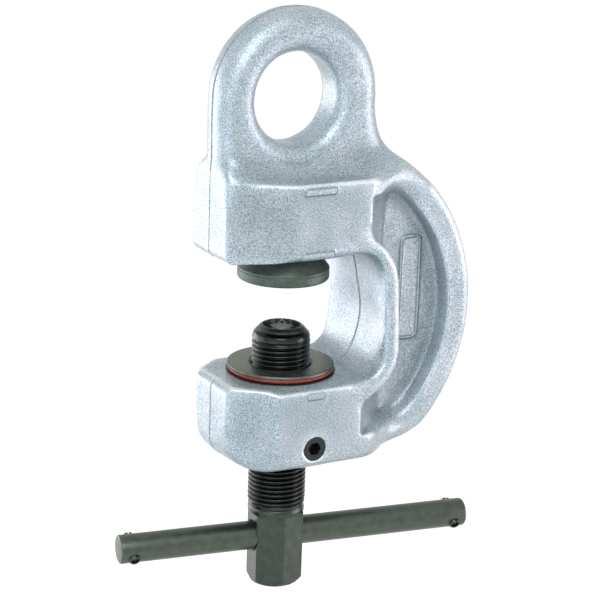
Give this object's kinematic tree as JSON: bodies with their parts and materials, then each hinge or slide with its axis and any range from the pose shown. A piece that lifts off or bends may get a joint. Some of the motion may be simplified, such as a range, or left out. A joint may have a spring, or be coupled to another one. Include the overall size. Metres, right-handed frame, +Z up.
{
  "type": "screw lifting clamp",
  "caption": "Forged C-frame lifting clamp with a lifting eye, a turning grip pad and a pressing screw with a swivelling tip, worked by a sliding tommy bar.",
  "frame": {"origin": "centre of the lifting eye's bore", "axes": "+Z up along the pressing screw, +Y along the eye's bore, the mouth opens to -X"},
  "size_m": [0.1538, 0.054, 0.2421],
  "materials": {
    "forged_frame": "silver paint over a shot-blasted forging",
    "dark_steel": "black oxide, oiled",
    "grey_steel": "worn dark oxide",
    "spring_steel": "dark spring steel",
    "red_seal": "matte"
  },
  "bodies": {
    "frame": {"clamp_body": "forged_frame", "nut_bush": "dark_steel", "bush_seal_ring": "red_seal", "bush_set_screw": "dark_steel"},
    "pad": {"grip_pad": "dark_steel", "pad_snap_ring": "spring_steel"},
    "tip": {"spindle_tip": "dark_steel", "tip_snap_ring": "spring_steel"},
    "spindle": {"screw_spindle": "dark_steel"},
    "bar": {"tommy_bar": "grey_steel", "bar_pin_left": "spring_steel", "bar_pin_right": "spring_steel"}
  },
  "joints": [
    {"name": "pad_swivel", "type": "hinge", "parent": "frame", "child": "pad", "pos_m": [0, 0, -0.0742], "axis": [0, 0, 1], "continuous": true},
    {"name": "screw_feed", "type": "slide", "parent": "frame", "child": "tip", "axis": [0, 0, 1], "range_m": [-0.0155, 0.0198]},
    {"name": "screw_turn", "type": "hinge", "parent": "tip", "child": "spindle", "pos_m": [0, 0, -0.0963], "axis": [0, 0, 1], "range_deg": [-2700, 3500]},
    {"name": "bar_slide", "type": "slide", "parent": "spindle", "child": "bar", "axis": [0.9885, -0.1513, 0], "range_m": [-0.0675, 0.0495]}
  ],
  "couplings": [
    {"joint": "screw_feed", "follows": "screw_turn", "m_per_rad": 0.00031831}
  ]
}
